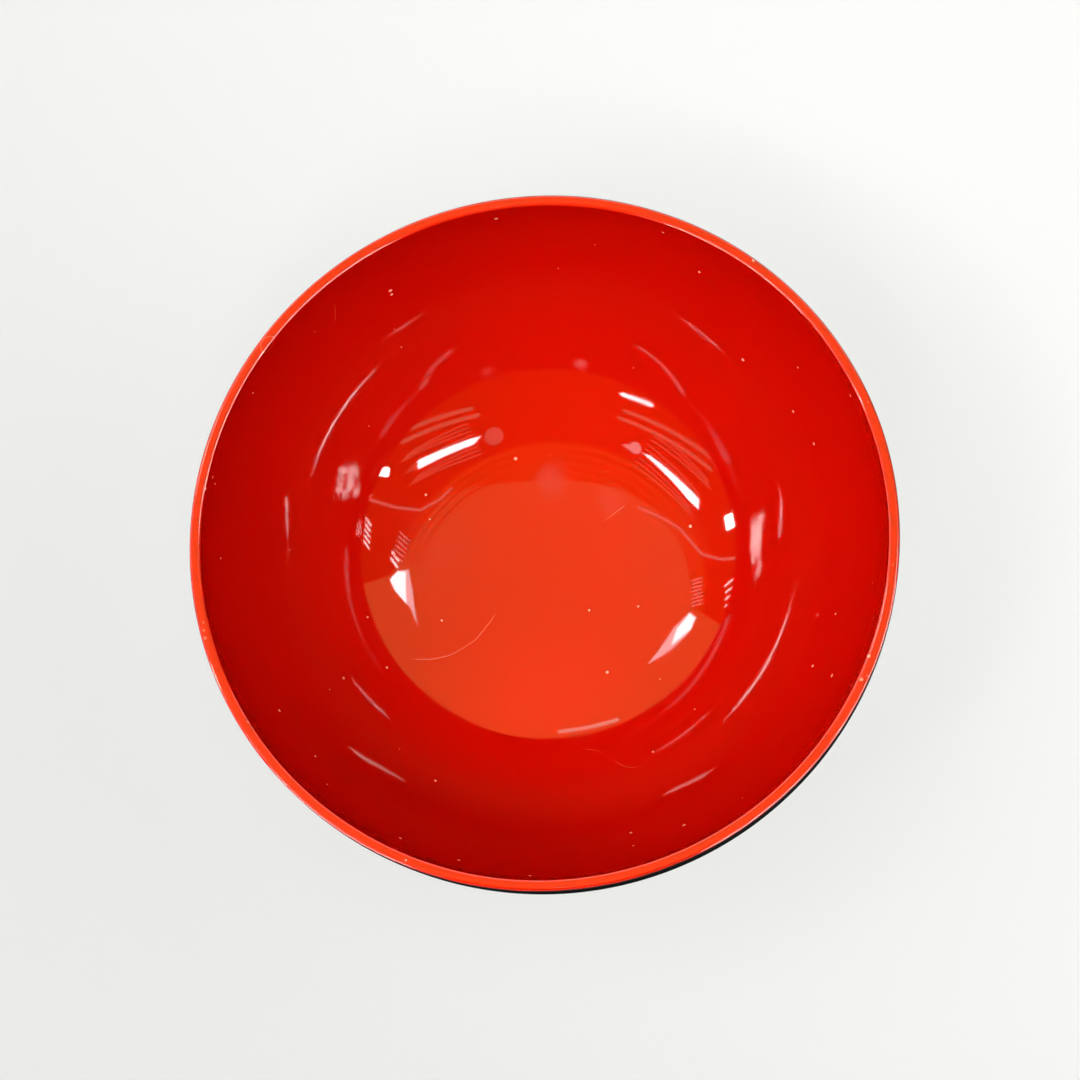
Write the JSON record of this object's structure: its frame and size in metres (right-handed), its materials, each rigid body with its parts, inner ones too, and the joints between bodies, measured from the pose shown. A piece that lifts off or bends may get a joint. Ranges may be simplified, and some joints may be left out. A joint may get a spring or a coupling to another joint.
{
  "type": "rice bowl",
  "caption": "Round lacquered rice bowl with a foot ring, red inside and over the lip, black outside.",
  "frame": {"origin": "centre of the foot ring's resting face, at the lowest level of the bowl", "axes": "+Z is the bowl's axis, up towards the rim; the bowl is round, so X and Y are alike"},
  "size_m": [0.12, 0.12, 0.065],
  "materials": {
    "core_wood": "turned, fine grain, sealed",
    "red_lacquer": "high gloss vermilion lacquer",
    "black_lacquer": "high gloss black lacquer",
    "black_foot_lacquer": "satin black lacquer, rubbed where it rests"
  },
  "bodies": {
    "root": {"wooden_core": "core_wood", "red_inner_lacquer": "red_lacquer", "black_outer_lacquer": "black_lacquer", "black_foot_lacquer": "black_foot_lacquer"}
  },
  "joints": []
}
